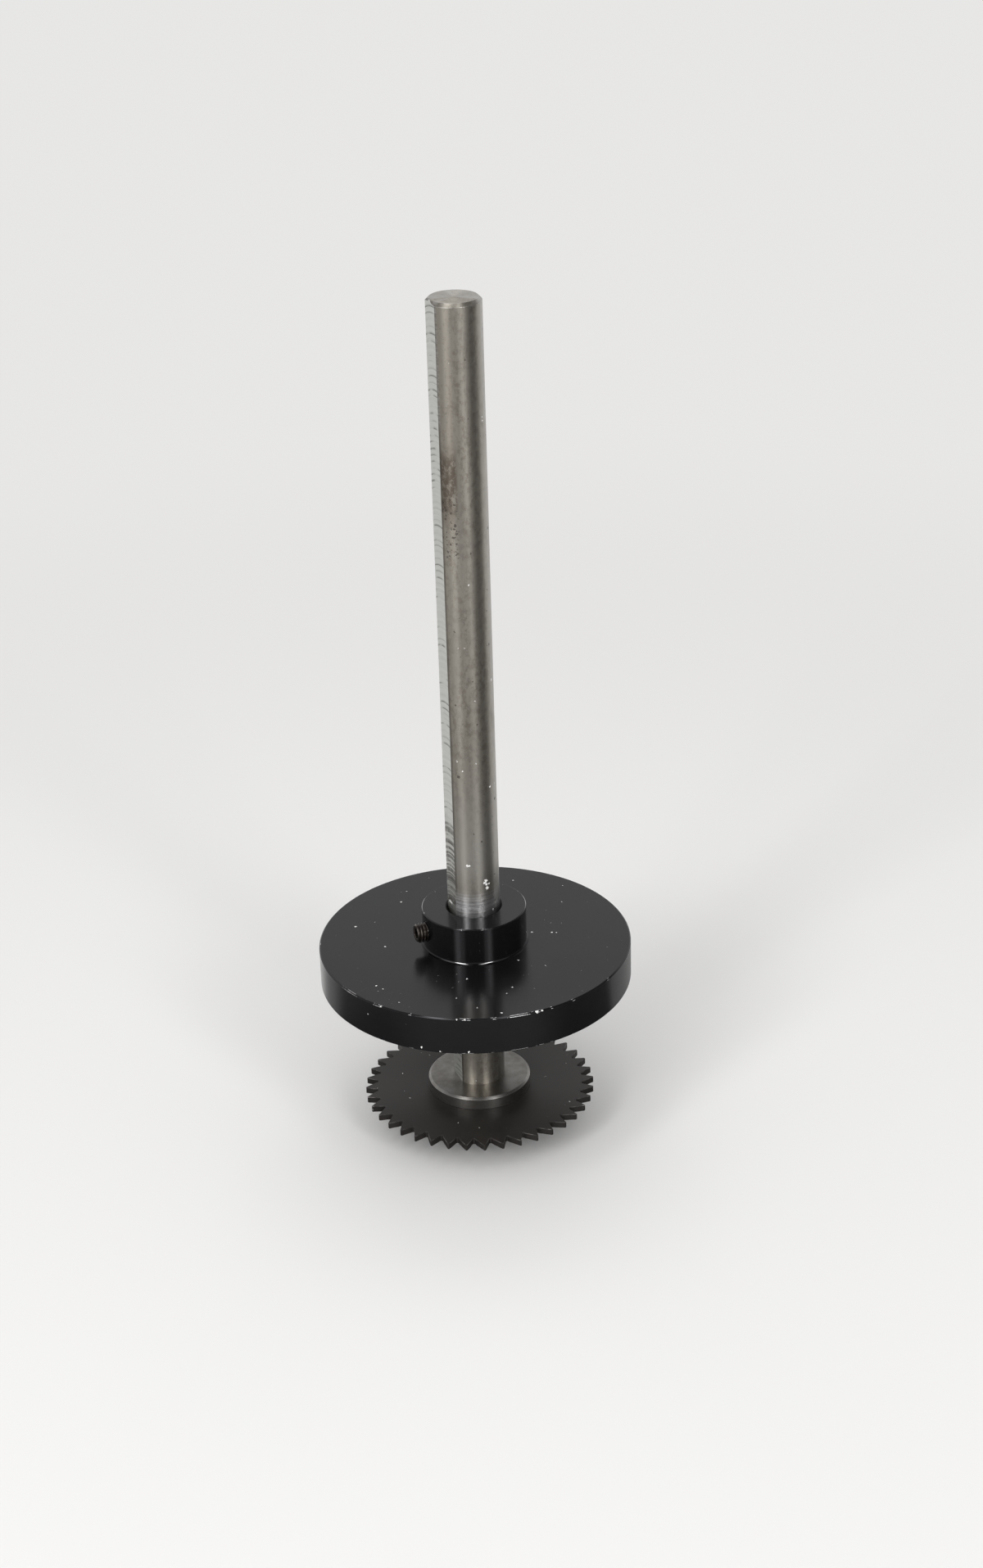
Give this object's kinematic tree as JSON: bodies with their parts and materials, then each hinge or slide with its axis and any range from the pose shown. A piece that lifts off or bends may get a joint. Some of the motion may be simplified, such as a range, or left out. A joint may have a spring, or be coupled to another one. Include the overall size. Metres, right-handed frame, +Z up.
{
  "type": "internal pipe cutter",
  "caption": "Drill-driven saw that cuts a pipe from the inside: a round shaft with a long flat, a toothed blade at its lower end and a sliding disc as depth stop.",
  "frame": {"origin": "on the shaft's axis, at the lower end of the shank, where the drill chuck's nose stops", "axes": "+Z up the shaft into the chuck; the flat and the set screw face -X"},
  "size_m": [0.0762, 0.0762, 0.2116],
  "materials": {
    "shaft_steel": "drawn bar, faintly stained and scratched, with a milled flat",
    "black_anodise": "satin black anodised, turned, with bare chips along the top edge",
    "black_oxide": "black oxide gone brown",
    "washer_steel": "turned steel",
    "blade_steel": "black hardened steel with bright tooth edges",
    "zinc_plate": "zinc plated"
  },
  "bodies": {
    "arbor": {"shaft": "shaft_steel", "blade_backing_washer": "washer_steel", "saw_blade": "blade_steel", "blade_clamp_washer": "washer_steel", "lock_washer": "zinc_plate", "blade_screw": "zinc_plate"},
    "depth_stop": {"stop_flange": "black_anodise"},
    "set_screw": {"stop_set_screw": "black_oxide"}
  },
  "joints": [
    {"name": "stop_slide", "type": "slide", "parent": "arbor", "child": "depth_stop", "axis": [0, 0, 1], "range_m": [-0.0285, 0.1165]},
    {"name": "set_screw_travel", "type": "slide", "parent": "depth_stop", "child": "set_screw", "axis": [-1, 0, 0], "range_m": [0, 0.00238]}
  ]
}
